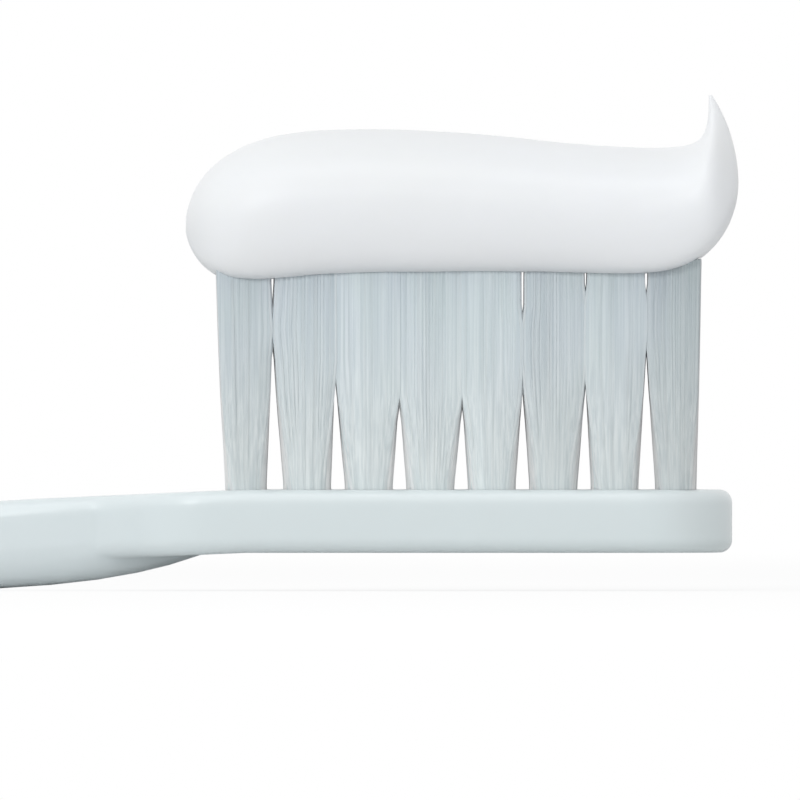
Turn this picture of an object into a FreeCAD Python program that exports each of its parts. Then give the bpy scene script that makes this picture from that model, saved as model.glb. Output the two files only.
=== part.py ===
import FreeCAD, Part
import math
import os
import Sketcher
from FreeCAD import Vector

# Adult toothbrush with a compact head, lying on its back, with a strip of toothpaste on the bristles.
# +X runs from the handle's end to the head's tip, +Z is the way the bristles point, +Y is left.
# The origin is on the handle's flat back, under the widest part of the grip.

# Driving sizes: millimetres, and degrees for the two angles
SIZES = [
    # head plate
    ("head_width", 9.9),
    ("head_thickness", 3.0),
    ("head_lift", 1.8),
    ("head_edge_radius", 0.6),
    ("head_tip_radius", 4.2),
    ("tip_margin", 2.69),
    ("root_margin", 2.16),
    ("shoulder_length", 5.9),
    ("tongue_inset", 0.08),
    # tufts and their holes
    ("column_pitch", 2.92),
    ("row_pitch", 2.92),
    ("hole_wall", 0.6),
    ("end_hole_step", 0.3),
    ("hole_depth", 2.2),
    ("tuft_fit", 0.02),
    ("tip_gap", 0.08),
    ("fan_height", 4.8),
    ("trim_height", 11.0),
    # anchors
    ("anchor_thickness", 0.3),
    ("anchor_height", 1.4),
    ("anchor_bite", 0.18),
    ("anchor_rise", 0.35),
    ("anchor_fit", 0.02),
    ("anchor_turn", 30.0),
    # neck
    ("neck_dip", 2.5),
    ("neck_width", 4.8),
    ("neck_top_step", 0.01),
    ("neck_edge_radius", 1.7),
    ("neck_base_radius", 1.8),
    ("neck_front_length", 15.4),
    ("neck_rear_length", 35.0),
    ("heel_edge_radius", 0.72),
    ("heel_lift", 0.6),
    ("heel_run", 3.8),
    ("heel_run_lift", 0.18),
    ("keel_length", 4.3),
    ("keel_run_in", 1.0),
    ("keel_tip_width", 3.6),
    ("keel_tip_cover", 0.4),
    ("keel_base_radius", 1.3),
    # grip
    ("grip_front_length", 40.0),
    ("grip_rear_length", 58.0),
    ("grip_front_width", 8.6),
    ("grip_front_thickness", 5.2),
    ("grip_width", 11.6),
    ("grip_thickness", 6.6),
    ("grip_rear_width", 9.8),
    ("grip_rear_thickness", 6.0),
    ("grip_edge_radius", 2.4),
    ("grip_base_radius", 1.8),
    ("grip_rear_edge_radius", 2.9),
    ("grip_rear_base_radius", 2.6),
    ("grip_end_radius", 2.4),
    ("back_flat_depth", 0.15),
    ("trim_margin", 2.0),
    # toothpaste
    ("paste_width", 10.6),
    ("paste_height", 7.2),
    ("paste_sink", 1.05),
    ("paste_fit", 0.03),
    ("paste_root_overhang", 1.47),
    ("paste_tip_overhang", 1.62),
    ("paste_nose_height", 2.6),
    ("paste_nose_crown", 6.6),
    ("paste_nose_base", 3.0),
    ("paste_nose_plan", 3.5),
    ("paste_crown_flat", 3.8),
    ("paste_crown_fall", 0.95),
    ("paste_curl_length", 4.19),
    ("paste_base_rise", 0.2),
    ("paste_curl_height", 4.42),
    ("paste_peak_setback", 1.45),
    ("paste_peak_height", 2.77),
]

# Three rows of eight tufts
ROWS = [("right", -1), ("middle", 0), ("left", 1)]
COLUMNS = 8
TUFT_SIDES = 12

# Relations between the sizes: places along the brush, levels, half widths and radii
RELATIONS = [
    ("middle_x", "0"),
    ("waist_x", "Sizes.grip_front_length + Sizes.neck_rear_length"),
    ("heel_x", "Layout.waist_x + Sizes.neck_front_length"),
    ("heel_run_x", "Layout.heel_x - Sizes.heel_run"),
    ("root_x", "Layout.heel_x + Sizes.keel_length"),
    ("keel_tip_x", "Layout.root_x + Sizes.keel_run_in"),
    ("shoulder_x", "Layout.root_x - Sizes.shoulder_length"),
    ("rear_x", "-Sizes.grip_rear_length"),
    ("first_column_x", "Layout.root_x + Sizes.root_margin"),
    ("second_column_x", "Layout.first_column_x + Sizes.column_pitch"),
    ("end_column_span", "%d * Sizes.column_pitch" % (COLUMNS - 1)),
    ("last_column_x", "Layout.first_column_x + Layout.end_column_span"),
    ("tip_x", "Layout.last_column_x + Sizes.tip_margin"),
    ("right_row_y", "-Sizes.row_pitch"),
    ("head_half", "Sizes.head_width / 2"),
    ("neck_half", "Sizes.neck_width / 2"),
    ("tongue_half", "Layout.neck_half - Sizes.tongue_inset"),
    ("keel_tip_half", "Sizes.keel_tip_width / 2"),
    ("grip_front_half", "Sizes.grip_front_width / 2"),
    ("grip_half", "Sizes.grip_width / 2"),
    ("grip_rear_half", "Sizes.grip_rear_width / 2"),
    ("trim_x", "Layout.tip_x + Sizes.trim_margin"),
    ("trim_rear_x", "Layout.rear_x - Sizes.trim_margin"),
    ("trim_half", "max(Layout.head_half; Layout.grip_half) + Sizes.trim_margin"),
    ("head_top", "Sizes.head_lift + Sizes.head_thickness"),
    ("dip_slope", "tan(Sizes.neck_dip * 1 deg)"),
    ("shoulder_drop", "Layout.dip_slope * (Layout.first_column_x - Layout.shoulder_x)"),
    ("shoulder_top", "Layout.head_top - Layout.shoulder_drop"),
    ("shoulder_lift", "Sizes.head_lift - Layout.shoulder_drop"),
    ("neck_top", "Layout.head_top - Sizes.neck_top_step"),
    ("heel_top", "Layout.neck_top - Layout.dip_slope * (Layout.first_column_x - Layout.heel_x)"),
    ("heel_run_top", "Layout.neck_top - Layout.dip_slope * (Layout.first_column_x - Layout.heel_run_x)"),
    ("waist_top", "Layout.neck_top - Layout.dip_slope * (Layout.first_column_x - Layout.waist_x)"),
    ("keel_tip_top", "Layout.head_top - Sizes.keel_tip_cover"),
    ("keel_slope", "(Sizes.head_lift - Sizes.heel_lift) / Sizes.keel_length"),
    ("keel_tip_lift", "Sizes.head_lift + Layout.keel_slope * Sizes.keel_run_in"),
    ("back_lift", "-Sizes.back_flat_depth"),
    ("hole_radius", "(min(Sizes.column_pitch; Sizes.row_pitch) - Sizes.hole_wall) / 2"),
    ("end_hole_radius", "Layout.hole_radius - Sizes.end_hole_step / 2"),
    ("hole_floor", "Layout.head_top - Sizes.hole_depth"),
    ("tuft_radius", "Layout.hole_radius - Sizes.tuft_fit"),
    ("end_tuft_radius", "Layout.end_hole_radius - Sizes.tuft_fit"),
    ("tuft_tip_radius", "(min(Sizes.column_pitch; Sizes.row_pitch) - Sizes.tip_gap) / 2"),
    ("tuft_floor", "Layout.hole_floor + Sizes.tuft_fit"),
    ("tuft_foot", "Sizes.hole_depth - Sizes.tuft_fit"),
    ("tuft_meet", "Layout.tuft_foot + Sizes.fan_height"),
    ("tuft_length", "Layout.tuft_foot + Sizes.trim_height"),
    ("tuft_top", "Layout.tuft_floor + Layout.tuft_length"),
    ("anchor_half_width", "Layout.hole_radius + Sizes.anchor_bite"),
    ("anchor_half_thickness", "Sizes.anchor_thickness / 2"),
    ("anchor_top", "Layout.hole_floor + Sizes.anchor_rise + Sizes.anchor_height"),
    ("slot_half_width", "Layout.anchor_half_width + Sizes.anchor_fit"),
    ("slot_half_thickness", "Layout.anchor_half_thickness + Sizes.anchor_fit"),
    ("slot_height", "Sizes.anchor_height + 2 * Sizes.anchor_fit"),
    ("slot_top", "Layout.anchor_top + Sizes.anchor_fit"),
    ("tuft_slot_top", "Layout.slot_top - Layout.tuft_floor"),
    ("field_root_x", "Layout.first_column_x - Layout.tuft_tip_radius"),
    ("field_tip_x", "Layout.last_column_x + Layout.tuft_tip_radius"),
    ("field_half", "Sizes.row_pitch + Layout.tuft_tip_radius"),
    ("paste_root_x", "Layout.field_root_x - Sizes.paste_root_overhang"),
    ("paste_tip_x", "Layout.field_tip_x + Sizes.paste_tip_overhang"),
    ("curl_x", "Layout.paste_tip_x - Sizes.paste_curl_length"),
    ("peak_x", "Layout.paste_tip_x - Sizes.paste_peak_setback"),
    ("paste_half", "Sizes.paste_width / 2"),
    ("paste_base", "Layout.tuft_top - Sizes.paste_sink"),
    ("nose_z", "Layout.paste_base + Sizes.paste_nose_height"),
    ("crown_z", "Layout.paste_base + Sizes.paste_height"),
    ("curl_crown_z", "Layout.crown_z - Sizes.paste_crown_fall"),
    ("curl_base", "Layout.paste_base + Sizes.paste_base_rise"),
    ("belly_z", "Layout.curl_base + Sizes.paste_curl_height"),
    ("peak_z", "Layout.curl_crown_z + Sizes.paste_peak_height"),
]

# Shape of the toothpaste: roundness 2 is an ellipse and more is squarer, lead and slimming are powers
CROWN_ROUNDNESS = 2.2
BASE_ROUNDNESS = 5.0
NOSE_CROWN_ROUNDNESS = 2.15
NOSE_BASE_ROUNDNESS = 2.1
NOSE_PLAN_ROUNDNESS = 2.6
CURL_ROUNDNESS = 4.0
HOLLOW_LEAD = 1.5
CURL_FULLNESS = 1.3
CURL_SLIMMING = 1.3

# Rings of the toothpaste: degrees about the nose, then shares of the body and of the curl
RING_POINTS = 12
NOSE_TURNS = (4, 10, 20, 33, 48, 68, 90)
BODY_SHARES = (0.25, 0.5, 0.75)
CURL_SHARES = (0, 0.2, 0.38, 0.54, 0.68, 0.81, 0.91, 0.98)

# Lengths below this count as nothing when edges are picked
TOLERANCE = 0.001

doc = FreeCAD.newDocument("toothbrush")


def make_sizes():
    sheet = doc.addObject("Spreadsheet::Sheet", "Sizes")
    for line, (alias, number) in enumerate(SIZES, start=1):
        sheet.set("A%d" % line, alias)
        sheet.set("B%d" % line, str(number))
        sheet.setAlias("B%d" % line, alias)
    doc.recompute()
    relations = doc.addObject("App::VarSet", "Layout")
    for name, relation in RELATIONS:
        relations.addProperty("App::PropertyFloat", name, "Layout", "")
        relations.setExpression(name, relation)
    doc.recompute()
    return sheet, relations


sizes, layout = make_sizes()


# Number that a name stands for, and the expression that ties a dimension to it
def size(name):
    holder = layout if name in layout.PropertiesList else sizes
    return float(getattr(holder, name))


def link(name):
    holder = "Layout" if name in layout.PropertiesList else "Sizes"
    return "%s.%s" % (holder, name)


def signed(name):
    if name.startswith("-"):
        return -size(name[1:]), "-" + link(name[1:])
    return size(name), link(name)


def origin_part(body, role):
    return [item for item in body.Origin.OriginFeatures if item.Role == role][0]


# Sketch on one of the body's origin planes, moved along the plane's normal by a named length
def make_sketch(body, name, plane, offset=None):
    sketch = body.newObject("Sketcher::SketchObject", name)
    sketch.AttachmentSupport = [(origin_part(body, plane), "")]
    sketch.MapMode = "FlatFace"
    if offset:
        sketch.setExpression("AttachmentOffset.Base.z", link(offset))
    return sketch


def bind(sketch, constraint, expression):
    index = sketch.addConstraint(constraint)
    sketch.setExpression("Constraints[%d]" % index, expression)


# Hold one end or centre of a piece at a named place, in one direction or in both
def fix_across(sketch, piece, point, name):
    number, expression = signed(name)
    bind(sketch, Sketcher.Constraint("DistanceX", -1, 1, piece, point, number), expression)


def fix_up(sketch, piece, point, name):
    number, expression = signed(name)
    bind(sketch, Sketcher.Constraint("DistanceY", -1, 1, piece, point, number), expression)


def fix_point(sketch, piece, point, across, up):
    fix_across(sketch, piece, point, across)
    fix_up(sketch, piece, point, up)


def fix_radius(sketch, piece, name):
    bind(sketch, Sketcher.Constraint("Radius", piece, size(name)), link(name))


def arc(sketch, x, y, radius, start, end):
    circle = Part.Circle(Vector(x, y, 0), Vector(0, 0, 1), radius)
    return sketch.addGeometry(Part.ArcOfCircle(circle, start, end))


def join(sketch, pieces):
    for here, after in zip(pieces, pieces[1:] + pieces[:1]):
        sketch.addConstraint(Sketcher.Constraint("Coincident", here, 2, after, 1))


# Closed outline of straight lines through named points
def polygon(sketch, points):
    places = [Vector(signed(across)[0], signed(up)[0], 0) for across, up in points]
    lines = [sketch.addGeometry(Part.LineSegment(here, after))
             for here, after in zip(places, places[1:] + places[:1])]
    join(sketch, lines)
    for line, (across, up) in zip(lines, points):
        fix_point(sketch, line, 1, across, up)


def pad(body, name, sketch, length):
    feature = body.newObject("PartDesign::Pad", name)
    feature.Profile = sketch
    feature.setExpression("Length", link(length))
    return feature


# Pocket that runs against the sketch's normal, through everything if it has no depth
def pocket(body, name, sketch, depth=None):
    feature = body.newObject("PartDesign::Pocket", name)
    feature.Profile = sketch
    if depth:
        feature.setExpression("Length", link(depth))
    else:
        feature.Type = "ThroughAll"
    return feature


def fillet(body, name, edges, radius):
    base = body.Tip
    feature = body.newObject("PartDesign::Fillet", name)
    feature.Base = (base, edges)
    feature.setExpression("Radius", link(radius))


# Copies of a feature along the brush and in all three rows
def grid(body, name, feature, columns, column_step):
    pattern = body.newObject("PartDesign::LinearPattern", name)
    pattern.Originals = [feature]
    pattern.Direction = (origin_part(body, "X_Axis"), [""])
    pattern.Mode = "Spacing"
    pattern.setExpression("Offset", link(column_step))
    pattern.Occurrences = columns
    pattern.Spacings = [-1.0] * (columns - 1)
    pattern.Direction2 = (origin_part(body, "Y_Axis"), [""])
    pattern.Mode2 = "Spacing"
    pattern.setExpression("Offset2", link("row_pitch"))
    pattern.Occurrences2 = len(ROWS)
    pattern.Spacings2 = [-1.0] * (len(ROWS) - 1)
    body.Tip = pattern
    doc.recompute()


# Head plate seen from the side: level under the tufts, dipping towards the neck
def head_profile(body):
    sketch = make_sketch(body, "head_profile", "XZ_Plane")
    polygon(sketch, [
        ("tip_x", "head_lift"),
        ("tip_x", "head_top"),
        ("first_column_x", "head_top"),
        ("shoulder_x", "shoulder_top"),
        ("shoulder_x", "shoulder_lift"),
        ("first_column_x", "head_lift"),
    ])
    return sketch


# One side of the head seen from above: round tip corner, straight side, shoulder curving in to the neck
def head_side(sketch, side):
    half = size("head_half")
    tongue = size("tongue_half")
    corner = size("head_tip_radius")
    run = size("shoulder_length")
    root = size("root_x")
    tip = size("tip_x")
    drop = half - tongue
    bend = (run * run + drop * drop) / (4 * drop)
    turn = math.asin(run / 2 / bend)
    quarter = math.pi / 2
    outward = quarter * side
    inward = -outward
    tip_start = min(0, outward)
    outer_start = outward - (0 if side > 0 else turn)
    inner_start = inward - (0 if side > 0 else turn)
    tip_arc = arc(sketch, tip - corner, side * (half - corner), corner, tip_start, tip_start + quarter)
    line = sketch.addGeometry(
        Part.LineSegment(Vector(tip - corner, side * half, 0), Vector(root, side * half, 0)))
    outer = arc(sketch, root, side * (half - bend), bend, outer_start, outer_start + turn)
    inner = arc(sketch, root - run, side * (tongue + bend), bend, inner_start, inner_start + turn)
    near = 2 if side > 0 else 1
    far = 3 - near
    sketch.addConstraint(Sketcher.Constraint("Tangent", tip_arc, near, line, 1))
    sketch.addConstraint(Sketcher.Constraint("Tangent", line, 2, outer, far))
    sketch.addConstraint(Sketcher.Constraint("Tangent", outer, near, inner, near))
    sketch.addConstraint(Sketcher.Constraint("Equal", outer, inner))
    sketch.addConstraint(Sketcher.Constraint("Horizontal", line))
    sign = "" if side > 0 else "-"
    fix_radius(sketch, tip_arc, "head_tip_radius")
    fix_point(sketch, line, 2, "root_x", sign + "head_half")
    fix_across(sketch, inner, 3, "shoulder_x")
    fix_up(sketch, inner, far, sign + "tongue_half")
    return (tip_arc, far), (inner, far)


# Everything outside the head's outline, out to a rectangle that clears it
def head_surround(body):
    sketch = make_sketch(body, "head_surround", "XY_Plane", "head_top")
    left_tip, left_tongue = head_side(sketch, 1)
    right_tip, right_tongue = head_side(sketch, -1)
    closings = (
        (right_tip, left_tip, "Tangent"),
        (left_tongue, right_tongue, "Coincident"),
    )
    for start, end, kind in closings:
        line = sketch.addGeometry(Part.LineSegment(sketch.getPoint(*start), sketch.getPoint(*end)))
        sketch.addConstraint(Sketcher.Constraint(kind, line, 1, *start))
        sketch.addConstraint(Sketcher.Constraint(kind, line, 2, *end))
        if kind == "Tangent":
            fix_across(sketch, line, 1, "tip_x")
    polygon(sketch, [
        ("trim_x", "trim_half"),
        ("waist_x", "trim_half"),
        ("waist_x", "-trim_half"),
        ("trim_x", "-trim_half"),
    ])
    return sketch


# Edges around the head plate's upper or lower face, without the ones that cross the face
def head_edges(shape, upper):
    middle = (size("shoulder_top") + size("head_lift")) / 2
    names = []
    for number, edge in enumerate(shape.Edges, start=1):
        box = edge.BoundBox
        upright = box.XLength < TOLERANCE and box.YLength < TOLERANCE
        across = box.XLength < TOLERANCE and box.XMax < size("tip_x") - TOLERANCE
        if (box.Center.z > middle) == upper and not upright and not across:
            names.append("Edge%d" % number)
    return names


# Rounded rectangle across the brush, from its lift to its top
def section(body, station, half_width, lift, top, edge_radius, base_radius):
    sketch = make_sketch(body, "section_" + station, "YZ_Plane", station)
    side = size(half_width)
    low = size(lift)
    high = size(top)
    edge = size(edge_radius)
    base = size(base_radius)
    quarter = math.pi / 2
    corners = [
        arc(sketch, side - base, low + base, base, 3 * quarter, 4 * quarter),
        arc(sketch, side - edge, high - edge, edge, 0, quarter),
        arc(sketch, edge - side, high - edge, edge, quarter, 2 * quarter),
        arc(sketch, base - side, low + base, base, 2 * quarter, 3 * quarter),
    ]
    directions = ("Vertical", "Horizontal", "Vertical", "Horizontal")
    for here, after, direction in zip(corners, corners[1:] + corners[:1], directions):
        line = sketch.addGeometry(Part.LineSegment(sketch.getPoint(here, 2), sketch.getPoint(after, 1)))
        sketch.addConstraint(Sketcher.Constraint("Tangent", here, 2, line, 1))
        sketch.addConstraint(Sketcher.Constraint("Tangent", line, 2, after, 1))
        sketch.addConstraint(Sketcher.Constraint(direction, line))
    fix_radius(sketch, corners[0], base_radius)
    fix_radius(sketch, corners[1], edge_radius)
    sketch.addConstraint(Sketcher.Constraint("Equal", corners[0], corners[3]))
    sketch.addConstraint(Sketcher.Constraint("Equal", corners[1], corners[2]))
    fix_across(sketch, corners[1], 1, half_width)
    fix_across(sketch, corners[2], 2, "-" + half_width)
    fix_up(sketch, corners[0], 1, lift)
    fix_up(sketch, corners[2], 1, top)
    return sketch


# Neck and grip as one smooth run of rounded sections, from under the head back to the rear end
def add_neck_and_grip(body):
    stations = [
        ("keel_tip_x", "keel_tip_half", "keel_tip_lift", "keel_tip_top",
         "heel_edge_radius", "keel_base_radius"),
        ("heel_x", "neck_half", "heel_lift", "heel_top",
         "heel_edge_radius", "neck_base_radius"),
        ("heel_run_x", "neck_half", "heel_run_lift", "heel_run_top",
         "heel_edge_radius", "neck_base_radius"),
        ("waist_x", "neck_half", "back_lift", "waist_top",
         "neck_edge_radius", "neck_base_radius"),
        ("grip_front_length", "grip_front_half", "back_lift", "grip_front_thickness",
         "grip_edge_radius", "grip_base_radius"),
        ("middle_x", "grip_half", "back_lift", "grip_thickness",
         "grip_edge_radius", "grip_base_radius"),
        ("rear_x", "grip_rear_half", "back_lift", "grip_rear_thickness",
         "grip_rear_edge_radius", "grip_rear_base_radius"),
    ]
    sketches = [section(body, *station) for station in stations]
    doc.recompute()
    loft = body.newObject("PartDesign::AdditiveLoft", "neck_and_grip")
    loft.Profile = sketches[0]
    loft.Sections = sketches[1:]
    doc.recompute()


# Flat back that the brush lies on, cut along the resting plane
def cut_flat_back(body):
    sketch = make_sketch(body, "flat_back_outline", "XY_Plane")
    polygon(sketch, [
        ("trim_x", "trim_half"),
        ("trim_rear_x", "trim_half"),
        ("trim_rear_x", "-trim_half"),
        ("trim_x", "-trim_half"),
    ])
    pocket(body, "flat_back", sketch)
    doc.recompute()


def round_rear_end(body):
    limit = size("rear_x") + TOLERANCE
    edges = ["Edge%d" % number for number, edge in enumerate(body.Shape.Edges, start=1)
             if edge.BoundBox.XMax < limit]
    fillet(body, "rear_rounding", edges, "grip_end_radius")
    doc.recompute()


# Upright rectangle for an anchor or its slot, turned about the middle of its hole
def anchor_outline(body, name, level, half_width, half_thickness):
    sketch = make_sketch(body, name, "XY_Plane", level)
    sketch.setExpression("AttachmentOffset.Rotation.Angle", link("anchor_turn"))
    polygon(sketch, [
        (half_width, half_thickness),
        ("-" + half_width, half_thickness),
        ("-" + half_width, "-" + half_thickness),
        (half_width, "-" + half_thickness),
    ])
    return sketch


def move_to_first_hole(sketch):
    sketch.setExpression("AttachmentOffset.Base.x", link("first_column_x"))
    sketch.setExpression("AttachmentOffset.Base.y", link("right_row_y"))


# Blind holes for the tufts, narrower in the two end columns
def drill_holes(body, name, column, radius, columns, step):
    sketch = make_sketch(body, name + "_place", "XY_Plane", "head_top")
    center = Vector(size(column), size("right_row_y"), 0)
    circle = sketch.addGeometry(Part.Circle(center, Vector(0, 0, 1), size(radius)))
    fix_point(sketch, circle, 3, column, "right_row_y")
    fix_radius(sketch, circle, radius)
    hole = pocket(body, name, sketch, "hole_depth")
    doc.recompute()
    grid(body, name + "s", hole, columns, step)


# Slot across each hole, into which the anchor's two ends bite
def cut_anchor_slots(body):
    sketch = anchor_outline(body, "slot_place", "slot_top", "slot_half_width", "slot_half_thickness")
    move_to_first_hole(sketch)
    slot = pocket(body, "slot", sketch, "slot_height")
    doc.recompute()
    grid(body, "slots", slot, COLUMNS, "column_pitch")


# Head, neck and grip, moulded in one piece
def make_handle():
    body = doc.addObject("PartDesign::Body", "handle")
    plate = pad(body, "head_plate", head_profile(body), "head_width")
    plate.SideType = "Symmetric"
    doc.recompute()
    pocket(body, "head_outline", head_surround(body))
    doc.recompute()
    fillet(body, "upper_rounding", head_edges(body.Shape, True), "head_edge_radius")
    doc.recompute()
    fillet(body, "lower_rounding", head_edges(body.Shape, False), "head_edge_radius")
    doc.recompute()
    add_neck_and_grip(body)
    cut_flat_back(body)
    round_rear_end(body)
    drill_holes(body, "hole", "second_column_x", "hole_radius", COLUMNS - 2, "column_pitch")
    drill_holes(body, "end_hole", "first_column_x", "end_hole_radius", 2, "end_column_span")
    cut_anchor_slots(body)
    return body


# Anchors: flat strips of metal, one driven in over the fold of each tuft
def make_anchors():
    body = doc.addObject("PartDesign::Body", "anchors")
    body.AllowCompound = True
    sketch = anchor_outline(body, "anchor_place", "anchor_top",
                            "anchor_half_width", "anchor_half_thickness")
    move_to_first_hole(sketch)
    anchor = pad(body, "anchor", sketch, "anchor_height")
    anchor.Reversed = True
    doc.recompute()
    grid(body, "anchor_grid", anchor, COLUMNS, "column_pitch")
    return body


# Outline of equal straight sides inside a circle
def many_sided(body, name, level, radius):
    sketch = make_sketch(body, name, "XY_Plane", level)
    reach = size(radius)
    turns = [2 * math.pi * number / TUFT_SIDES for number in range(TUFT_SIDES)]
    corners = [Vector(reach * math.cos(turn), reach * math.sin(turn), 0) for turn in turns]
    circle = sketch.addGeometry(Part.Circle(Vector(), Vector(0, 0, 1), reach), True)
    sides = [sketch.addGeometry(Part.LineSegment(here, after))
             for here, after in zip(corners, corners[1:] + corners[:1])]
    sketch.addConstraint(Sketcher.Constraint("Coincident", circle, 3, -1, 1))
    fix_radius(sketch, circle, radius)
    join(sketch, sides)
    sketch.addConstraint(Sketcher.Constraint("PointOnObject", sides[0], 1, -1))
    for side in sides:
        sketch.addConstraint(Sketcher.Constraint("PointOnObject", side, 1, circle))
    for side in sides[1:]:
        sketch.addConstraint(Sketcher.Constraint("Equal", sides[0], side))
    return sketch


# One tuft: round shank in its hole, bristles fanned out above the head, window for its anchor
def make_tuft(name, column, row):
    shank_radius = "end_tuft_radius" if column in (1, COLUMNS) else "tuft_radius"
    body = doc.addObject("PartDesign::Body", name)
    shank = body.newObject("PartDesign::AdditiveCylinder", name + "_shank")
    shank.setExpression("Radius", link(shank_radius))
    shank.setExpression("Height", link("tuft_foot"))
    rings = [
        many_sided(body, name + "_foot", "tuft_foot", shank_radius),
        many_sided(body, name + "_meet", "tuft_meet", "tuft_tip_radius"),
        many_sided(body, name + "_trim", "tuft_length", "tuft_tip_radius"),
    ]
    doc.recompute()
    fan = body.newObject("PartDesign::AdditiveLoft", name + "_fan")
    fan.Profile = rings[0]
    fan.Sections = rings[1:]
    fan.Ruled = True
    window = anchor_outline(body, name + "_window_place", "tuft_slot_top",
                            "slot_half_width", "slot_half_thickness")
    pocket(body, name + "_window", window, "slot_height")
    step = column - 1
    body.setExpression("Placement.Base.x", "Layout.first_column_x + %d * Sizes.column_pitch" % step)
    body.setExpression("Placement.Base.y", "%d * Sizes.row_pitch" % row)
    body.setExpression("Placement.Base.z", link("tuft_floor"))
    doc.recompute()
    return body


# Part of a quarter of an ellipse or squarer curve: 0 at its end, 1 at its middle
def quarter_rise(share, roundness):
    rest = 1 - min(max(share, 0), 1)
    return (1 - rest ** roundness) ** (1 / roundness)


# Height of the toothpaste's crown at a place along the brush
def paste_crown(x):
    run = x - size("paste_root_x")
    if run < size("paste_nose_crown"):
        rise = quarter_rise(run / size("paste_nose_crown"), NOSE_CROWN_ROUNDNESS)
        return size("nose_z") + rise * (size("crown_z") - size("nose_z"))
    fall_start = size("paste_root_x") + size("paste_nose_crown") + size("paste_crown_flat")
    share = min(max((x - fall_start) / (size("curl_x") - fall_start), 0), 1)
    return size("crown_z") - size("paste_crown_fall") * share * share * (3 - 2 * share)


# Ring of control points between a low and a high point, flatter below than above
def paste_ring(low, high, half_width):
    middle = (low + high) * 0.5
    rise = (high - low) * 0.5
    swell = 3 / (2 + math.cos(2 * math.pi / RING_POINTS))
    ring = []
    for number in range(RING_POINTS):
        turn = 2 * math.pi * (number / RING_POINTS + 0.25)
        power = 2 / (CROWN_ROUNDNESS if math.sin(turn) > 0 else BASE_ROUNDNESS)
        across = math.copysign(abs(math.cos(turn)) ** power, math.cos(turn))
        up = math.copysign(abs(math.sin(turn)) ** power, math.sin(turn))
        ring.append(middle + (rise * up + Vector(0, half_width * across, 0)) * swell)
    return ring


# Solid with a smooth skin over the rings and a small flat end at the first and the last
def skin(rings):
    around = len(rings[0])
    along = len(rings)
    poles = [[ring[number] for ring in rings] for number in range(around)]
    surface = Part.BSplineSurface()
    surface.buildFromPolesMultsKnots(
        poles, [1] * (around + 1), [4] + [1] * (along - 4) + [4],
        list(range(around + 1)), list(range(along - 2)), True, False, 3, 3)
    side = surface.toShape()
    ends = [Part.Face(Part.Wire([edge])) for edge in side.Edges if edge.isClosed()]
    shell = Part.makeShell([side] + ends)
    shell.sewShape()
    return Part.Solid(shell)


# Upright rings from the round nose, over the handle's end of the strip, to where the curl starts
def paste_body_rings():
    root = size("paste_root_x")
    nose = size("paste_nose_crown")
    reach = size("curl_x") - root
    runs = [nose * (1 - math.cos(math.radians(turn))) for turn in NOSE_TURNS]
    runs += [nose + (reach - nose) * share for share in BODY_SHARES]
    rings = []
    for run in runs:
        x = root + run
        drop = quarter_rise(run / size("paste_nose_base"), NOSE_BASE_ROUNDNESS)
        spread = quarter_rise(run / size("paste_nose_plan"), NOSE_PLAN_ROUNDNESS)
        low = size("nose_z") - size("paste_nose_height") * drop + size("paste_base_rise") * run / reach
        half_width = size("paste_half") * spread
        rings.append(paste_ring(Vector(x, 0, low), Vector(x, 0, paste_crown(x)), half_width))
    return rings


# Tilted rings that turn up about the hollow of the curl and shrink to its peak
def paste_curl_rings():
    curl_x = size("curl_x")
    length = size("paste_curl_length")
    reach = size("peak_x") - curl_x
    peak_turn = math.acos(reach / length)
    upper_height = (size("peak_z") - size("belly_z")) / math.sin(peak_turn)
    full = size("curl_crown_z") - size("curl_base")
    rings = []
    for share in CURL_SHARES:
        turn = -math.pi / 2 + share * (math.pi / 2 + peak_turn)
        height = upper_height if turn > 0 else size("paste_curl_height")
        outer = Vector(curl_x + length * math.cos(turn), 0, size("belly_z") + height * math.sin(turn))
        hollow_turn = (1 - share) ** HOLLOW_LEAD * math.pi / 2
        power = 2 / CURL_ROUNDNESS
        inner = Vector(curl_x + reach * math.cos(hollow_turn) ** power, 0,
                       size("peak_z") - size("paste_peak_height") * math.sin(hollow_turn) ** power)
        slimness = min(1, CURL_FULLNESS * (outer - inner).Length / full)
        rings.append(paste_ring(outer, inner, size("paste_half") * slimness ** CURL_SLIMMING))
    return rings


# Shallow hollow in the underside that takes all the bristle tips
def paste_hollow():
    gap = size("paste_fit")
    left = size("field_half") + gap
    root = size("field_root_x") - gap
    length = size("field_tip_x") + gap - root
    top = size("tuft_top") + gap
    floor = size("head_top")
    block = Part.makeBox(length, 2 * left, top - floor, Vector(root, -left, floor))
    upright = [edge for edge in block.Edges if edge.BoundBox.ZLength > TOLERANCE]
    return block.makeFillet(size("tuft_tip_radius") + gap, upright)


# Strip of toothpaste: soft free shape, skinned over its rings and hollowed for the tips
def make_toothpaste():
    strip = skin(paste_body_rings() + paste_curl_rings())
    feature = doc.addObject("Part::Feature", "toothpaste")
    feature.Shape = strip.cut(paste_hollow())
    return feature


def make_all():
    parts = [make_handle(), make_anchors()]
    for row_name, row in ROWS:
        for column in range(1, COLUMNS + 1):
            parts.append(make_tuft("tuft_%s_%d" % (row_name, column), column, row))
    parts.append(make_toothpaste())
    doc.recompute()
    return parts


def check(parts):
    for item in doc.Objects:
        if "Invalid" in item.State or "Error" in item.State:
            raise RuntimeError("failed: " + item.Name)
    for item in parts:
        if item.Shape.isNull() or not item.Shape.isValid():
            raise RuntimeError("bad shape: " + item.Label)
        solids = COLUMNS * len(ROWS) if item.Label == "anchors" else 1
        if len(item.Shape.Solids) != solids:
            raise RuntimeError("wrong number of solids: " + item.Label)


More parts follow.
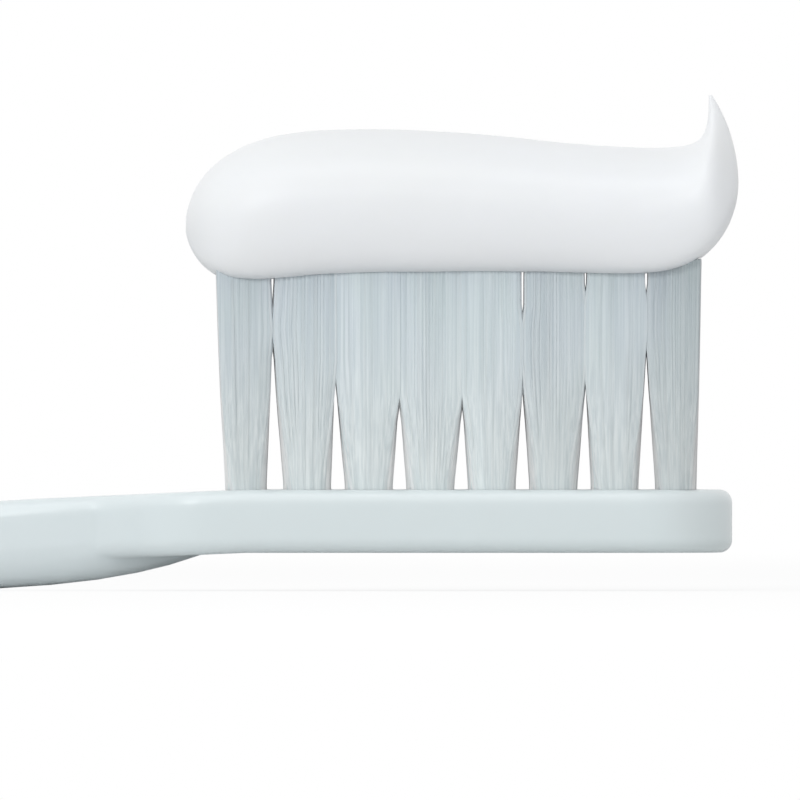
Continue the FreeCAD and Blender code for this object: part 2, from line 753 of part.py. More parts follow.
def write(parts):
    os.makedirs("parts", exist_ok=True)
    for item in parts:
        item.Shape.exportStep("parts/%s.step" % item.Label)
        print(item.Label, round(item.Shape.Volume, 2))


sub_parts = make_all()
check(sub_parts)
write(sub_parts)
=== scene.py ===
import math
import random

import bpy
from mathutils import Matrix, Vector, noise


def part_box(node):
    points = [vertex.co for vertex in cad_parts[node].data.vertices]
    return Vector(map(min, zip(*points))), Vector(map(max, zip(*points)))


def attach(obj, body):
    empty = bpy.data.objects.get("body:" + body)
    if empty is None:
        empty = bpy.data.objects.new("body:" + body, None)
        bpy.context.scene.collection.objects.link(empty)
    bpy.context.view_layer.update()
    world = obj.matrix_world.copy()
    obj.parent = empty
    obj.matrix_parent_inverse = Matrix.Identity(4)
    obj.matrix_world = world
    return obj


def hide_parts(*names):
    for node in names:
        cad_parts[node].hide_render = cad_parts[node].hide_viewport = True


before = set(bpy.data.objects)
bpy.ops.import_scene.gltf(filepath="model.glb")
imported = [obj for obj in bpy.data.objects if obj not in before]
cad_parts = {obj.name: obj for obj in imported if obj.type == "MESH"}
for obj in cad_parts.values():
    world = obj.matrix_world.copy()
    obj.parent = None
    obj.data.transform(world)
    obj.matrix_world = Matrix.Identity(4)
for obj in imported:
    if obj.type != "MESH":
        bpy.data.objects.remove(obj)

mm = 0.001
scene = bpy.context.scene
collection = scene.collection
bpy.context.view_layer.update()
print("frame loaded:", len(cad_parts), "nodes")

# Camera: level with the bristles, square to the brush's side, long lens
cameraView = {
    "middle": (104.18, 9.06),  # along the brush and up, mm
    "distance": 1500.0,        # mm from the brush's middle plane
    "width": 38.1,             # mm across the picture
}


def makeCamera(view):
    data = bpy.data.cameras.new("camera")
    data.sensor_width = 36.0
    data.lens = data.sensor_width * view["distance"] / view["width"]
    data.clip_start = 0.01
    data.clip_end = 50.0
    camera = bpy.data.objects.new("camera", data)
    camera.location = (view["middle"][0] * mm, -view["distance"] * mm, view["middle"][1] * mm)
    camera.rotation_euler = (math.radians(90), 0, 0)
    collection.objects.link(camera)
    scene.camera = camera


makeCamera(cameraView)

# Small helpers for shader trees


def addNode(tree, kind, place=(0, 0), **settings):
    made = tree.nodes.new("ShaderNode" + kind)
    made.location = place
    for name, value in settings.items():
        setattr(made, name, value)
    return made


def startMaterial(name):
    material = bpy.data.materials.new(name)
    material.use_nodes = True
    tree = material.node_tree
    tree.nodes.clear()
    output = addNode(tree, "OutputMaterial", (900, 0))
    shader = addNode(tree, "BsdfPrincipled", (600, 0))
    tree.links.new(shader.outputs["BSDF"], output.inputs["Surface"])
    return material, tree, shader


def startGroup(name, inputs, outputs):
    group = bpy.data.node_groups.new(name, "ShaderNodeTree")
    for label, kind, value in inputs:
        socket = group.interface.new_socket(label, in_out="INPUT", socket_type=kind)
        if value is not None:
            socket.default_value = value
    for label, kind in outputs:
        group.interface.new_socket(label, in_out="OUTPUT", socket_type=kind)
    start = group.nodes.new("NodeGroupInput")
    start.location = (-700, 0)
    end = group.nodes.new("NodeGroupOutput")
    end.location = (700, 0)
    return group, start, end


def placeGroup(tree, group, place, **values):
    made = addNode(tree, "Group", place)
    made.node_tree = group
    for label, value in values.items():
        made.inputs[label].default_value = value
    return made


# Soft clouds of one colour in another, as in a moulded or squeezed mass
def makeCloudGroup():
    group, start, end = startGroup(
        "softClouds",
        [("Vector", "NodeSocketVector", None), ("Main", "NodeSocketColor", (1, 1, 1, 1)),
         ("Cloud", "NodeSocketColor", (0.9, 0.9, 0.9, 1)), ("Scale", "NodeSocketFloat", 300.0),
         ("Stretch", "NodeSocketVector", (1.0, 1.0, 1.0)), ("Share", "NodeSocketFloat", 0.5)],
        [("Colour", "NodeSocketColor")])
    links = group.links
    stretch = addNode(group, "VectorMath", (-500, 0), operation="MULTIPLY")
    links.new(start.outputs["Vector"], stretch.inputs[0])
    links.new(start.outputs["Stretch"], stretch.inputs[1])
    clouds = addNode(group, "TexNoise", (-300, 0), noise_dimensions="3D")
    clouds.inputs["Detail"].default_value = 3.0
    clouds.inputs["Roughness"].default_value = 0.55
    links.new(stretch.outputs["Vector"], clouds.inputs["Vector"])
    links.new(start.outputs["Scale"], clouds.inputs["Scale"])
    spread = addNode(group, "MapRange", (-100, 0), interpolation_type="SMOOTHSTEP")
    spread.inputs["From Min"].default_value = 0.3
    spread.inputs["From Max"].default_value = 0.7
    links.new(clouds.outputs["Fac"], spread.inputs["Value"])
    share = addNode(group, "Math", (100, 0), operation="MULTIPLY")
    links.new(spread.outputs["Result"], share.inputs[0])
    links.new(start.outputs["Share"], share.inputs[1])
    mix = addNode(group, "Mix", (350, 0), data_type="RGBA")
    links.new(share.outputs[0], mix.inputs["Factor"])
    links.new(start.outputs["Main"], mix.inputs["A"])
    links.new(start.outputs["Cloud"], mix.inputs["B"])
    links.new(mix.outputs["Result"], end.inputs["Colour"])
    return group


# Fine skin of a surface: a roughness that varies and a height for a Bump node
def makeSkinGroup():
    group, start, end = startGroup(
        "fineSkin",
        [("Vector", "NodeSocketVector", None), ("Scale", "NodeSocketFloat", 2000.0),
         ("Stretch", "NodeSocketVector", (1.0, 1.0, 1.0)),
         ("Smooth", "NodeSocketFloat", 0.25), ("Dull", "NodeSocketFloat", 0.4)],
        [("Roughness", "NodeSocketFloat"), ("Height", "NodeSocketFloat")])
    links = group.links
    stretch = addNode(group, "VectorMath", (-500, 0), operation="MULTIPLY")
    links.new(start.outputs["Vector"], stretch.inputs[0])
    links.new(start.outputs["Stretch"], stretch.inputs[1])
    grain = addNode(group, "TexNoise", (-300, 150), noise_dimensions="3D")
    grain.inputs["Detail"].default_value = 4.0
    grain.inputs["Roughness"].default_value = 0.6
    links.new(stretch.outputs["Vector"], grain.inputs["Vector"])
    links.new(start.outputs["Scale"], grain.inputs["Scale"])
    patches = addNode(group, "Math", (-300, -150), operation="MULTIPLY")
    patches.inputs[1].default_value = 0.12
    links.new(start.outputs["Scale"], patches.inputs[0])
    wear = addNode(group, "TexNoise", (-100, -150), noise_dimensions="3D")
    wear.inputs["Detail"].default_value = 2.0
    links.new(stretch.outputs["Vector"], wear.inputs["Vector"])
    links.new(patches.outputs[0], wear.inputs["Scale"])
    rough = addNode(group, "MapRange", (200, -100))
    rough.inputs["From Min"].default_value = 0.3
    rough.inputs["From Max"].default_value = 0.7
    links.new(wear.outputs["Fac"], rough.inputs["Value"])
    links.new(start.outputs["Smooth"], rough.inputs["To Min"])
    links.new(start.outputs["Dull"], rough.inputs["To Max"])
    links.new(rough.outputs["Result"], end.inputs["Roughness"])
    links.new(grain.outputs["Fac"], end.inputs["Height"])
    return group


softClouds = makeCloudGroup()
fineSkin = makeSkinGroup()


def addBump(tree, shader, height, strength, distance, under=None):
    bump = addNode(tree, "Bump", (350, -350))
    bump.inputs["Strength"].default_value = strength
    bump.inputs["Distance"].default_value = distance
    tree.links.new(height, bump.inputs["Height"])
    if under:
        tree.links.new(under, bump.inputs["Normal"])
    tree.links.new(bump.outputs["Normal"], shader.inputs["Normal"])


# Handle: pale moulded plastic, slightly translucent and glossy
handleLook = {
    "plastic": (0.732, 0.808, 0.818, 1),
    "plasticCloud": (0.745, 0.803, 0.828, 1),
    "cloudScale": 60.0,
    "cloudStretch": (0.35, 1, 1),
    "smooth": 0.30,            # roughness of the smoother and of the duller patches
    "dull": 0.34,
    "grainScale": 2600.0,
    "grain": 0.03,
    "grainDepth": 0.00002,     # m
    "softEdge": 0.5,           # mm over which edges are shaded round
    "gloss": 0.5,
    "glossRough": 0.32,
    "inside": 0.25,            # share of light that passes under the surface
    "insideReach": 0.0012,     # m
}


def makeHandleMaterial(look):
    material, tree, shader = startMaterial("palePlastic")
    place = addNode(tree, "TexCoord", (-600, 0))
    clouds = placeGroup(tree, softClouds, (-200, 150), Main=look["plastic"], Cloud=look["plasticCloud"],
                        Scale=look["cloudScale"], Stretch=look["cloudStretch"], Share=0.5)
    skin = placeGroup(tree, fineSkin, (-200, -200), Scale=look["grainScale"],
                      Smooth=look["smooth"], Dull=look["dull"])
    tree.links.new(place.outputs["Object"], clouds.inputs["Vector"])
    tree.links.new(place.outputs["Object"], skin.inputs["Vector"])
    tree.links.new(clouds.outputs["Colour"], shader.inputs["Base Color"])
    tree.links.new(skin.outputs["Roughness"], shader.inputs["Roughness"])
    soft = addNode(tree, "Bevel", (-100, -450), samples=6)
    soft.inputs["Radius"].default_value = look["softEdge"] * mm
    # Hair-thin faces along the fillets are turned over, so their normal is turned back
    turned = addNode(tree, "NewGeometry", (-300, -650))
    upright = addNode(tree, "Math", (-100, -650), operation="MULTIPLY_ADD")
    upright.inputs[1].default_value = -2
    upright.inputs[2].default_value = 1
    tree.links.new(turned.outputs["Backfacing"], upright.inputs[0])
    mended = addNode(tree, "VectorMath", (100, -550), operation="SCALE")
    tree.links.new(soft.outputs["Normal"], mended.inputs[0])
    tree.links.new(upright.outputs[0], mended.inputs["Scale"])
    addBump(tree, shader, skin.outputs["Height"], look["grain"], look["grainDepth"], mended.outputs[0])
    shader.inputs["IOR"].default_value = 1.49
    shader.inputs["Coat Weight"].default_value = look["gloss"]
    shader.inputs["Coat Roughness"].default_value = look["glossRough"]
    shader.inputs["Subsurface Weight"].default_value = look["inside"]
    shader.inputs["Subsurface Radius"].default_value = (1.0, 1.0, 1.0)
    shader.inputs["Subsurface Scale"].default_value = look["insideReach"]
    return material


def dress(node, material):
    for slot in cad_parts[node].material_slots:
        slot.material = material


dress("handle", makeHandleMaterial(handleLook))
print("handle dressed")

# Anchors: brass clips pressed into the holes
anchorLook = {
    "brass": (0.70, 0.52, 0.25, 1),
    "tarnish": (0.45, 0.32, 0.15, 1),
    "tarnishScale": 1500.0,
    "smooth": 0.22,
    "dull": 0.42,
    "grainScale": 6000.0,
    "grainStretch": (1, 1, 0.1),  # drawn lines, upright
    "grain": 0.15,
    "grainDepth": 0.00002,     # m
}


def makeAnchorMaterial(look):
    material, tree, shader = startMaterial("drawnBrass")
    place = addNode(tree, "TexCoord", (-600, 0))
    clouds = placeGroup(tree, softClouds, (-200, 150), Main=look["brass"], Cloud=look["tarnish"],
                        Scale=look["tarnishScale"], Share=0.6)
    skin = placeGroup(tree, fineSkin, (-200, -200), Scale=look["grainScale"],
                      Stretch=look["grainStretch"], Smooth=look["smooth"], Dull=look["dull"])
    tree.links.new(place.outputs["Object"], clouds.inputs["Vector"])
    tree.links.new(place.outputs["Object"], skin.inputs["Vector"])
    tree.links.new(clouds.outputs["Colour"], shader.inputs["Base Color"])
    tree.links.new(skin.outputs["Roughness"], shader.inputs["Roughness"])
    addBump(tree, shader, skin.outputs["Height"], look["grain"], look["grainDepth"])
    shader.inputs["Metallic"].default_value = 1.0
    return material


dress("anchors", makeAnchorMaterial(anchorLook))

# Bristles: for each tuft one bundle of fine nylon strands round a filled middle
bristleShape = {
    "pitch": 2.92,             # mm from column to column
    "headTop": 4.8,            # mm, where the bundles leave the head
    "tips": 15.78,             # mm, height of the trimmed tips, inside the toothpaste
    "foot": 1.13,              # mm, reach of a bundle where it leaves the head
    "endFoot": 0.98,           # the same in the first and last columns
    "firstEdge": 1.47,         # mm, spread of the first column towards the handle
    "lastEdge": 1.22,          # mm, spread of the last column towards the tip
    "rowEdge": 1.42,           # mm, spread of each row
    "rowMeet": 10.5,           # mm, where the rows meet
    "flare": 0.85,             # below 1 a bundle widens soonest at its foot
    "squareRate": 2.2,         # how soon the round bundles grow square towards their tips
    "meetHeights": [12.1, 10.2, 9.3, 8.8, 9.95, 10.1, 11.7],  # mm, where each gap between columns closes
    "meetShifts": [-0.2, -0.15, 0.0, 0.06, 0.0, 0.07, 0.05],  # mm, of each gap's top along the brush
    "closeBelow": 1.0,         # mm below that height where the bundles start to press together
    "closeLength": 1.4,        # mm that this takes
    "pressed": 0.7,            # share of a strand's inset that is lost there
    "overlap": 0.06,           # mm that closed bundles reach into each other
    "slitStarts": [13.0, 16.0, 16.0, 16.0, 12.3, 13.8, 13.4],  # mm, where a gap opens again
    "slitHalf": (0.10, 0.12, 0.14),  # mm, half of such a gap in each row from the front
    "tuck": (0.0, 0.035, 0.07),  # mm that the bundles of each row stay narrower
    "layers": [(1.0, 60), (0.85, 36), (0.68, 28), (0.49, 20), (0.3, 12), (0.1, 4)],  # reach, strands
    "radius": 0.08,            # mm, of one strand
    "radiusSpread": (0.95, 1.03),
    "sides": 5,                # faces round a strand
    "rings": [2.72, 3.9, 4.5, 5.2, 6.4, 8.0, 9.4, 11.0, 12.4, 13.6, 14.6],  # heights, mm
    "tipRings": ((0.7, 1.0), (0.2, 0.7), (0.0, 0.25)),  # of a strand's round tip: below it, radius
    "bow": 0.02,               # mm, how far a strand bends out of line
    "tipSpread": 0.12,         # mm that a strand may end lower
    "turnSpread": 0.16,        # how unevenly the strands stand in a layer
    "layerSpread": 0.04,
    "coreRings": [4.5, 5.2, 6.4, 8.0, 9.4, 11.0, 12.4, 13.6, 14.6, 15.72],  # heights of the filled middle
    "coreSides": 24,
    "coreInsets": (0.055, 0.085),  # mm of the filled middle below the side, in turn by column
    "anchorTurn": 30.0,        # degrees, as the brass clips are set
    "anchorGap": 0.26,         # mm that each half of a folded bundle keeps from the clip's middle
    "foldTop": 4.3,            # mm, where the two halves start to close over the clip
    "foldLength": 0.9,
    "blend": 0.88,             # share of the bundle's own direction in the shading of a strand
    "sideBlend": 0.5,          # what is left of it at the sides
    "sideTurn": 0.55,          # how far that direction turns to the sides
    "frontTurn": 0.6,          # below 1 it stays longer to the front and back
    "seamTurn": 0.85,          # share of the side turn that is lost at a closed seam
}
bristleLook = {
    "low": (0.760, 0.815, 0.820, 1),   # near the head
    "high": (0.645, 0.725, 0.748, 1),  # near the tips, with clouds of the next
    "cloudy": (0.640, 0.705, 0.760, 1),
    "tintHeights": (5.0, 15.0),        # mm, from the low tint to the high one
    "cloudScale": 550.0,
    "cloudStretch": (1, 1, 0.3),
    "paintedSideLight": (0.900, 0.880, 0.875, 1),  # painted light: a pale pinkish tint at the sides of a bundle
    "paintedSideLightFrom": (0.62, 0.95),          # way from its middle to its side
    "paintedSideLightMost": 0.85,
    "paintedColumnShades": (0.91, 0.97, 1.0, 1.0, 1.0, 0.92, 0.94, 0.83),  # painted shade of each column, darker where less light falls on it
    "tones": (0.94, 1.02),             # of the single strands
    "paleStreak": (1.08, 1.075, 1.07, 1),  # times the colour, along the strands
    "dimStreak": (0.91, 0.93, 0.94, 1),
    "streakScale": 9000.0,
    "streakStretch": (1, 1, 0.012),
    "smooth": 0.42,
    "dull": 0.55,
    "grainStretch": (1, 1, 0.05),
    "grain": 0.1,
    "grainDepth": 0.00001,             # m
}


def eased(share):
    share = min(max(share, 0.0), 1.0)
    return share * share * (3 - 2 * share)


# How far the strands at one side of a bundle reach at a height
def sideReach(shape, foot, edge, meet, height):
    share = (height - shape["headTop"]) / (meet - shape["headTop"])
    return foot + (edge - foot) * min(max(share, 0.0), 1.0) ** shape["flare"]


# Both sides of a column: its spread, the height where that is reached, the height where a slit
# starts and half the slit's width
def columnSides(shape, column, rowNumber):
    half = shape["pitch"] / 2 - shape["tuck"][rowNumber]
    last = len(shape["meetHeights"])
    never = shape["tips"] + 1
    slitHalf = shape["slitHalf"][rowNumber]
    left = (shape["firstEdge"], shape["tips"], never, 0.0)
    right = (shape["lastEdge"], shape["tips"], never, 0.0)
    if column > 0:
        gap = column - 1
        left = (half - shape["meetShifts"][gap], shape["meetHeights"][gap],
                shape["slitStarts"][gap], slitHalf)
    if column < last:
        right = (half + shape["meetShifts"][column], shape["meetHeights"][column],
                 shape["slitStarts"][column], slitHalf)
    return left, right


def squareness(shape, height):
    rise = (height - shape["headTop"]) / (shape["tips"] - shape["headTop"])
    return eased(rise * shape["squareRate"])


# How far a bundle is closed up against the next one at a height
def closedShare(shape, meet, height):
    if meet >= shape["tips"]:
        return 0.0
    return eased((height - meet + shape["closeBelow"]) / shape["closeLength"])


# Place in a bundle at a height, for a turn about its middle and a share of its reach
def bundlePoint(shape, sides, foot, height, turn, layer, inset):
    cosine, sine = math.cos(turn), math.sin(turn)
    edge, meet, slitStart, slitHalf = sides[1] if cosine > 0 else sides[0]
    closed = closedShare(shape, meet, height)
    parted = eased(height - slitStart)
    slit = slitHalf * parted + inset * (1 - shape["pressed"] * closed)
    overlap = shape["overlap"] * closed * (1 - parted)
    reach = sideReach(shape, foot, edge, meet, height) - slit + overlap
    deep = sideReach(shape, foot, shape["rowEdge"], shape["rowMeet"], height) - inset
    corner = 1 / max(abs(cosine), abs(sine))
    spread = layer * (1 + (corner - 1) * squareness(shape, height))
    return spread * reach * cosine, spread * deep * sine


# Way that the bundle's side faces at that turn, longer where it rules the shading more
def outward(shape, sides, height, turn):
    cosine, sine = math.cos(turn), math.sin(turn)
    meet = sides[1][1] if cosine > 0 else sides[0][1]
    across = shape["sideTurn"] * (1 - shape["seamTurn"] * closedShare(shape, meet, height))
    along = math.copysign(abs(sine) ** shape["frontTurn"], sine)
    least = shape["sideBlend"]
    return Vector((cosine * across, along, 0)).normalized() * (least + (1 - least) * abs(sine))


# The two halves of a folded bundle stand one each side of the brass clip
def foldAside(shape, foot, height, x, y):
    folded = 1 - eased((height - shape["foldTop"]) / shape["foldLength"])
    if folded <= 0:
        return x, y
    slant = math.radians(shape["anchorTurn"])
    offset = -x * math.sin(slant) + y * math.cos(slant)
    along = x * math.cos(slant) + y * math.sin(slant)
    side = 1 if offset >= 0 else -1
    away = shape["anchorGap"] + abs(offset) * (1 - shape["anchorGap"] / foot)
    offset += (side * away - offset) * folded
    most = math.sqrt(max((foot - shape["radius"]) ** 2 - offset ** 2, 0))
    along += (min(max(along, -most), most) - along) * folded
    return (along * math.cos(slant) - offset * math.sin(slant),
            along * math.sin(slant) + offset * math.cos(slant))


def strandLine(shape, sides, foot, centre, turn, layer, chance):
    bowTurn = chance.uniform(0, 2 * math.pi)
    bow = chance.gauss(0, 1) * shape["bow"]
    tip = shape["tips"] - chance.uniform(0, shape["tipSpread"])
    line = []
    for height in shape["rings"] + [tip]:
        x, y = bundlePoint(shape, sides, foot, height, turn, layer, shape["radius"])
        x, y = foldAside(shape, foot, height, x, y)
        rise = (height - shape["headTop"]) / (shape["tips"] - shape["headTop"])
        free = math.sin(math.pi * min(max(rise, 0), 1)) * bow
        line.append(Vector((centre[0] + x + free * math.cos(bowTurn),
                            centre[1] + y + free * math.sin(bowTurn), height)))
    return line


def evenTurns(count):
    return [2 * math.pi * number / count for number in range(count)]


# Closed tube of rings of points, flat at both ends; gives the number of points added
def addTube(points, faces, rings):
    base = len(points)
    sides = len(rings[0])
    for ring in rings:
        points.extend(point * mm for point in ring)
    for number in range(len(rings) - 1):
        low = base + number * sides
        for side in range(sides):
            following = (side + 1) % sides
            faces.append((low + side, low + following, low + sides + following, low + sides + side))
    last = base + (len(rings) - 1) * sides
    faces.append(tuple(last + side for side in range(sides)))
    faces.append(tuple(base + side for side in reversed(range(sides))))
    return len(points) - base


# One strand: a thin tube with a rounded tip
def addStrand(points, faces, shape, line, radius, twist):
    middles = [(point, radius) for point in line[:-1]]
    middles += [(line[-1] - Vector((0, 0, radius * below)), radius * share)
                for below, share in shape["tipRings"]]
    turns = [twist + turn for turn in evenTurns(shape["sides"])]
    rings = [[middle + Vector((math.cos(turn), math.sin(turn), 0)) * reach for turn in turns]
             for middle, reach in middles]
    return addTube(points, faces, rings)


# The filled middle, so that no light comes through between the strands
def addCore(points, faces, shape, sides, foot, centre, inset):
    rings = []
    for height in shape["coreRings"]:
        places = [bundlePoint(shape, sides, foot, height, turn, 1.0, inset)
                  for turn in evenTurns(shape["coreSides"])]
        rings.append([Vector((centre[0] + x, centre[1] + y, height)) for x, y in places])
    return addTube(points, faces, rings)


def makeBundle(shape, look, rowNumber, row, column, material):
    node = "tuft_%s_%d" % (row, column + 1)
    low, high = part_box(node)
    centre = ((low.x + high.x) / 2 / mm, (low.y + high.y) / 2 / mm)
    sides = columnSides(shape, column, rowNumber)
    foot = shape["endFoot"] if column in (0, len(shape["meetHeights"])) else shape["foot"]
    foot -= shape["tuck"][rowNumber] / 2
    chance = random.Random(100 * rowNumber + column + 7)
    points, faces = [], []
    count = addCore(points, faces, shape, sides, foot, centre, shape["coreInsets"][column % 2])
    # Painted shade of the column, carried in the tone of every point
    shade = look["paintedColumnShades"][column]
    tones, sideways = [shade] * count, [0.0] * count
    facing = [outward(shape, sides, height, turn)
              for height in shape["coreRings"] for turn in evenTurns(shape["coreSides"])]
    strandRings = shape["rings"] + [shape["tips"]] * len(shape["tipRings"])
    uneven = shape["turnSpread"]
    for layer, strands in shape["layers"]:
        first = chance.uniform(0, 2 * math.pi)
        for number in range(strands):
            turn = first + 2 * math.pi * (number + chance.uniform(-uneven, uneven)) / strands
            near = min(layer + chance.uniform(-shape["layerSpread"], 0.0), 1.0)
            line = strandLine(shape, sides, foot, centre, turn, near, chance)
            radius = shape["radius"] * chance.uniform(*shape["radiusSpread"])
            count = addStrand(points, faces, shape, line, radius, chance.uniform(0, 1))
            tones += [shade * chance.uniform(*look["tones"])] * count
            sideways += [math.cos(turn) * layer] * count
            for height in strandRings:
                facing += [outward(shape, sides, height, turn)] * shape["sides"]
    mesh = bpy.data.meshes.new("bristles_%s_%d" % (row, column + 1))
    mesh.from_pydata(points, [], faces)
    mesh.attributes.new("toneAndShade", "FLOAT", "POINT").data.foreach_set("value", tones)
    mesh.attributes.new("sideways", "FLOAT", "POINT").data.foreach_set("value", sideways)
    mesh.shade_smooth()
    normals = [vertex.normal.lerp(way.normalized(), shape["blend"] * way.length).normalized()
               for vertex, way in zip(mesh.vertices, facing)]
    mesh.normals_split_custom_set_from_vertices(normals)
    mesh.materials.append(material)
    bundle = bpy.data.objects.new(mesh.name, mesh)
    collection.objects.link(bundle)
    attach(bundle, "root")
    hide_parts(node)


def makeBristleMaterial(look):
    material, tree, shader = startMaterial("clearNylon")
    links = tree.links
    place = addNode(tree, "TexCoord", (-1200, 0))
    height = addNode(tree, "SeparateXYZ", (-1000, 100))
    links.new(place.outputs["Object"], height.inputs[0])
    rise = addNode(tree, "MapRange", (-800, 200), interpolation_type="SMOOTHSTEP")
    rise.inputs["From Min"].default_value = look["tintHeights"][0] * mm
    rise.inputs["From Max"].default_value = look["tintHeights"][1] * mm
    links.new(height.outputs["Z"], rise.inputs["Value"])
    clouds = placeGroup(tree, softClouds, (-800, 450), Main=look["high"], Cloud=look["cloudy"],
                        Scale=look["cloudScale"], Stretch=look["cloudStretch"], Share=0.8)
    links.new(place.outputs["Object"], clouds.inputs["Vector"])
    upright = addNode(tree, "Mix", (-550, 200), data_type="RGBA")
    upright.inputs["A"].default_value = look["low"]
    links.new(clouds.outputs["Colour"], upright.inputs["B"])
    links.new(rise.outputs["Result"], upright.inputs["Factor"])
    # Painted light: a pale pinkish tint towards the sides of each bundle
    side = addNode(tree, "Attribute", (-1200, -200), attribute_name="sideways")
    turned = addNode(tree, "Math", (-1000, -200), operation="ABSOLUTE")
    links.new(side.outputs["Fac"], turned.inputs[0])
    paintedSideLight = addNode(tree, "MapRange", (-800, -150), interpolation_type="SMOOTHSTEP")
    paintedSideLight.inputs["From Min"].default_value = look["paintedSideLightFrom"][0]
    paintedSideLight.inputs["From Max"].default_value = look["paintedSideLightFrom"][1]
    paintedSideLight.inputs["To Max"].default_value = look["paintedSideLightMost"]
    links.new(turned.outputs[0], paintedSideLight.inputs["Value"])
    edged = addNode(tree, "Mix", (-300, 150), data_type="RGBA")
    edged.inputs["B"].default_value = look["paintedSideLight"]
    links.new(paintedSideLight.outputs["Result"], edged.inputs["Factor"])
    links.new(upright.outputs["Result"], edged.inputs["A"])
    # Each strand's own tone times the painted shade of its column
    toneAndShade = addNode(tree, "Attribute", (-1000, -450), attribute_name="toneAndShade")
    toned = addNode(tree, "VectorMath", (-50, 100), operation="SCALE")
    links.new(edged.outputs["Result"], toned.inputs[0])
    links.new(toneAndShade.outputs["Fac"], toned.inputs["Scale"])
    streaks = placeGroup(tree, softClouds, (-300, -250), Main=look["paleStreak"], Cloud=look["dimStreak"],
                         Scale=look["streakScale"], Stretch=look["streakStretch"], Share=1.0)
    links.new(place.outputs["Object"], streaks.inputs["Vector"])
    streaked = addNode(tree, "VectorMath", (150, 100), operation="MULTIPLY")
    links.new(toned.outputs["Vector"], streaked.inputs[0])
    links.new(streaks.outputs["Colour"], streaked.inputs[1])
    links.new(streaked.outputs["Vector"], shader.inputs["Base Color"])
    skin = placeGroup(tree, fineSkin, (-200, -500), Scale=look["streakScale"],
                      Stretch=look["grainStretch"], Smooth=look["smooth"], Dull=look["dull"])
    links.new(place.outputs["Object"], skin.inputs["Vector"])
    links.new(skin.outputs["Roughness"], shader.inputs["Roughness"])
    addBump(tree, shader, skin.outputs["Height"], look["grain"], look["grainDepth"])
    shader.inputs["IOR"].default_value = 1.45
    return material


nylon = makeBristleMaterial(bristleLook)
for rowNumber, rowName in enumerate(("right", "middle", "left")):
    for columnNumber in range(8):
        makeBundle(bristleShape, bristleLook, rowNumber, rowName, columnNumber, nylon)
print("bristles made")

# Toothpaste: a smooth strip with a round nose and a curl at its end
pasteShape = {
    "root": 93.97,             # mm along the brush, the nose's end
    "curl": 116.15,            # where the strip starts to curl up
    "curlLength": 4.19,        # from there to its furthest point
    "half": 5.3,               # half width
    "base": 14.75,             # heights of the lower and upper edge
    "crown": 21.95,
    "crownFall": 0.95,         # how far the upper edge falls towards the curl
    "crownFlat": 3.8,          # length behind the nose before it falls
    "noseHeight": 2.6,         # of the nose's foremost point above the lower edge
    "noseCrown": 6.6,          # lengths over which the nose grows up, down and wide
    "noseBase": 3.0,
    "nosePlan": 3.5,
    "baseRise": 0.2,           # of the lower edge towards the curl
    "sag": 0.2,                # mm, how far the lower edge hangs behind the nose
    "curlHeight": 4.42,        # of the curl's widest point above the lower edge
    "peakSetback": 1.45,       # of the curl's tip behind the widest point
    "peakHeight": 2.77,        # of the tip above the upper edge
    "crownRound": 2.2,         # 2 is an ellipse, more is squarer
    "baseRound": 5.0,
    "endBaseRound": 9.0,       # at the nose and under the curl
    "noseCrownRound": 2.15,
    "noseBaseRound": 2.1,
    "nosePlanRound": 2.6,
    "curlRound": 4.0,
    "hollowLead": 1.5,         # how soon the curl turns up on its inner side
    "fullness": 1.3,           # above 1 the curl stays wide for longer
    "slimming": 1.3,           # and how fast it then gets narrow
    "noseTurns": (4, 10, 20, 33, 48, 68, 90),  # places of the control rings, degrees
    "bodyShares": (0.25, 0.5, 0.75),
    "curlShares": (0, 0.2, 0.38, 0.54, 0.68, 0.81, 0.91, 0.98),
    "ringPoints": 12,          # control points in each
    "around": 120,             # faces round the strip
    "along": 330,              # and along it
    "hollowHalf": 4.37,        # hollow underneath, which the bristles fill
    "hollowEnds": (95.41, 118.60),
    "hollowFloor": 12.0,       # below the strip, so that the hollow is open
    "hollowTop": 15.83,        # just above the tips
    "hollowCorner": 1.45,
    "cornerSteps": 8,
    "lumps": 0.02,             # mm of soft unevenness
    "lumpScales": ((0.45, 0.7), (1.3, 0.3)),  # waves in a mm, and share
    "streaks": 0.006,          # mm of fine lines along it, as it leaves the nozzle
    "streakScales": (0.12, 0.45),  # waves in a mm along it, and in a face round it
    "fadeRings": 40,           # rings at both ends over which they fade
    "sharpAngle": 50,          # degrees, above which an edge stays sharp
}
pasteLook = {
    "white": (0.880, 0.897, 0.920, 1),
    "cream": (0.855, 0.868, 0.872, 1),
    "cloudScale": 160.0,
    "cloudStretch": (0.4, 1, 1),
    "smooth": 0.3,
    "dull": 0.42,
    "grainScale": 1500.0,
    "grainStretch": (0.3, 1, 1),
    "grain": 0.06,
    "grainDepth": 0.00005,     # m
    "inside": 0.35,            # share of light that passes under the surface
    "insideTint": (1.0, 1.0, 0.95),
    "insideReach": 0.0015,     # m
}


def quarterRise(share, roundness):
    rest = 1 - min(max(share, 0), 1)
    return (1 - rest ** roundness) ** (1 / roundness)


def pasteRing(shape, low, high, halfWidth, baseRound):
    middle = (low + high) * 0.5
    rise = (high - low) * 0.5
    count = shape["ringPoints"]
    swell = 3 / (2 + math.cos(2 * math.pi / count))
    ring = []
    for number in range(count):
        turn = 2 * math.pi * (number / count + 0.25)
        power = 2 / (shape["crownRound"] if math.sin(turn) > 0 else baseRound)
        across = math.copysign(abs(math.cos(turn)) ** power, math.cos(turn))
        up = math.copysign(abs(math.sin(turn)) ** power, math.sin(turn))
        ring.append(middle + (rise * up + Vector((0, halfWidth * across, 0))) * swell)
    return ring


